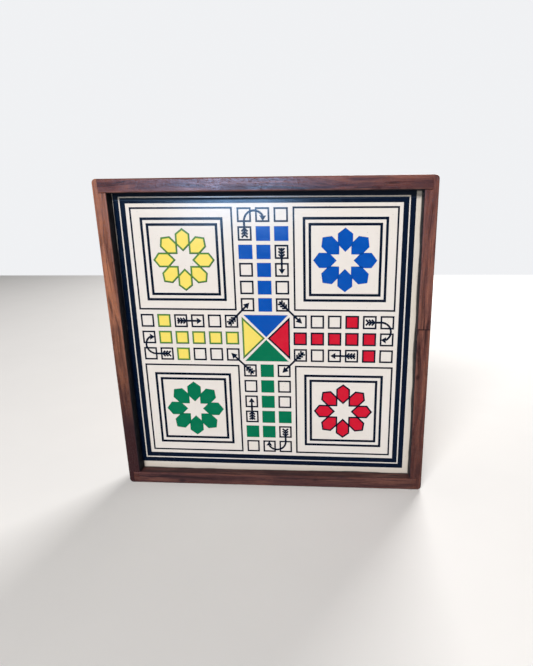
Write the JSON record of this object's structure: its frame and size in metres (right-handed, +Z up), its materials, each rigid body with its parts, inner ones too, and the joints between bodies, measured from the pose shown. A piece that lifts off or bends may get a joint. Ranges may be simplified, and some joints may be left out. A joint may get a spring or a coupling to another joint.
{
  "type": "carrom and ludo board",
  "caption": "Square wooden tabletop games board: printed ludo face inside a raised hardwood frame, carrom face with corner pockets on the other side.",
  "frame": {"origin": "centre of the bounding box's bottom face, which is the lower edge of the bottom rail", "axes": "+Z up the side rails with the board standing on its bottom rail, -Y out of the ludo face, +Y out of the carrom face, +X to the right seen from the ludo side"},
  "size_m": [0.6604, 0.0636, 0.6604],
  "materials": {
    "rail_wood": "lacquered dark red-brown hardwood, satin gloss",
    "rail_wood_pale": "the same hardwood from a browner board, satin gloss",
    "ludo_ply": "plywood painted off-white, screen printed and varnished",
    "carrom_ply": "plywood with a polished clear lacquer",
    "inner_wood": "bare softwood, unfinished",
    "black_plastic": "moulded, matt",
    "nail_steel": "bright wire nail"
  },
  "bodies": {
    "root": {"rail_left": "rail_wood", "rail_right_upper": "rail_wood", "rail_top": "rail_wood", "rail_bottom": "rail_wood", "rail_right_lower": "rail_wood_pale", "ludo_panel": "ludo_ply", "carrom_panel": "carrom_ply", "brace_upright": "inner_wood", "brace_across": "inner_wood", "corner_block_bottom_left": "inner_wood", "corner_block_bottom_right": "inner_wood", "corner_block_top_left": "inner_wood", "corner_block_top_right": "inner_wood", "splice_dowel_front": "inner_wood", "splice_dowel_back": "inner_wood", "pocket_cup_bottom_left": "black_plastic", "pocket_cup_bottom_right": "black_plastic", "pocket_cup_top_left": "black_plastic", "pocket_cup_top_right": "black_plastic", "nail_bottom_left_front": "nail_steel", "nail_bottom_left_back": "nail_steel", "nail_bottom_right_front": "nail_steel", "nail_bottom_right_back": "nail_steel", "nail_top_left_front": "nail_steel", "nail_top_left_back": "nail_steel", "nail_top_right_front": "nail_steel", "nail_top_right_back": "nail_steel"}
  },
  "joints": []
}
